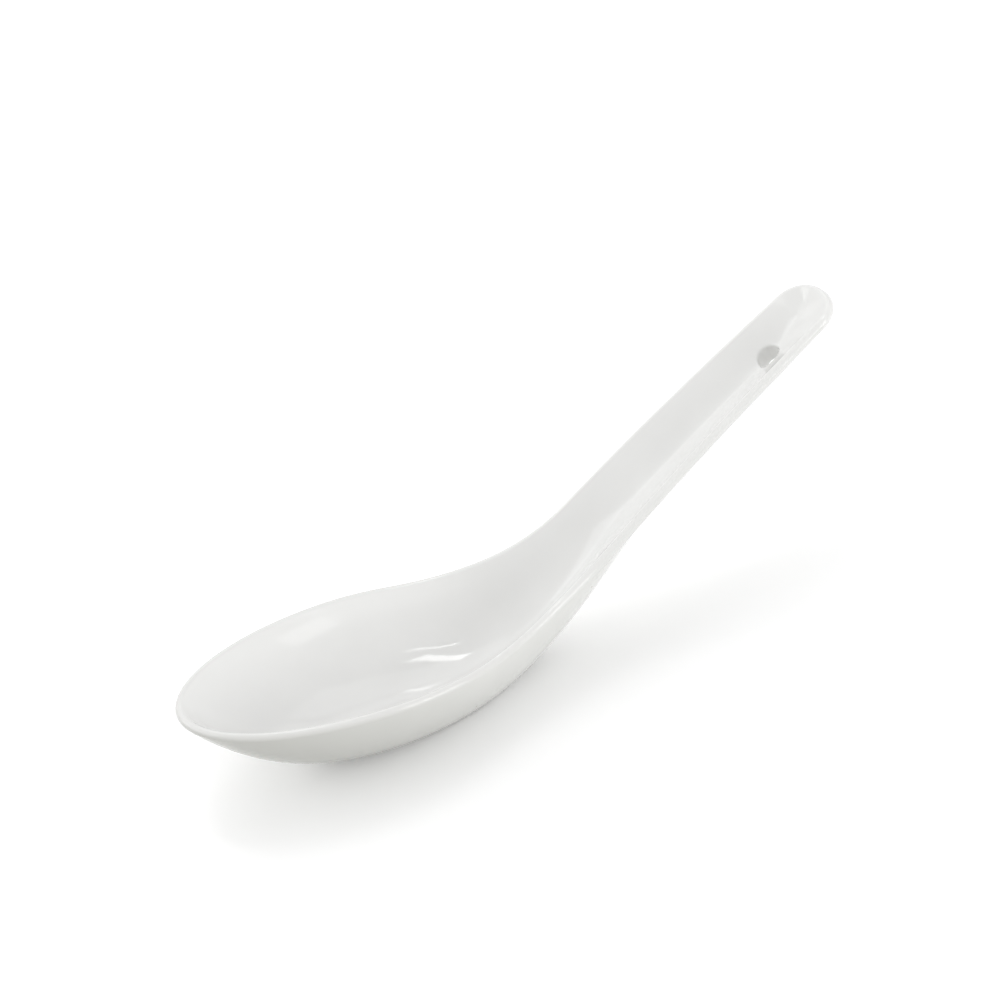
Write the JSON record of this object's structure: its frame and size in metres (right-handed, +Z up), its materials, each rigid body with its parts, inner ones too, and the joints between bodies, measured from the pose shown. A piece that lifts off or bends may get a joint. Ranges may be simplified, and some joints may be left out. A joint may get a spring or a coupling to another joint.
{
  "type": "tasting spoon",
  "caption": "White glazed porcelain spoon with a deep egg-shaped bowl, an upswept channelled handle with a hanging hole, and a flat ground foot that it stands on.",
  "frame": {"origin": "on the ground foot under the bowl, below the deepest place of the belly, on the surface that the spoon stands on", "axes": "+X from the bowl's tip along the spoon to the handle, +Z up, Y across the bowl with the spoon symmetric about Y = 0"},
  "size_m": [0.1338, 0.041, 0.0455],
  "materials": {
    "bare_porcelain": "matt fired porcelain",
    "white_glaze": "clear gloss glaze over white porcelain"
  },
  "bodies": {
    "root": {"porcelain_body": "bare_porcelain", "glaze_coat": "white_glaze"}
  },
  "joints": []
}
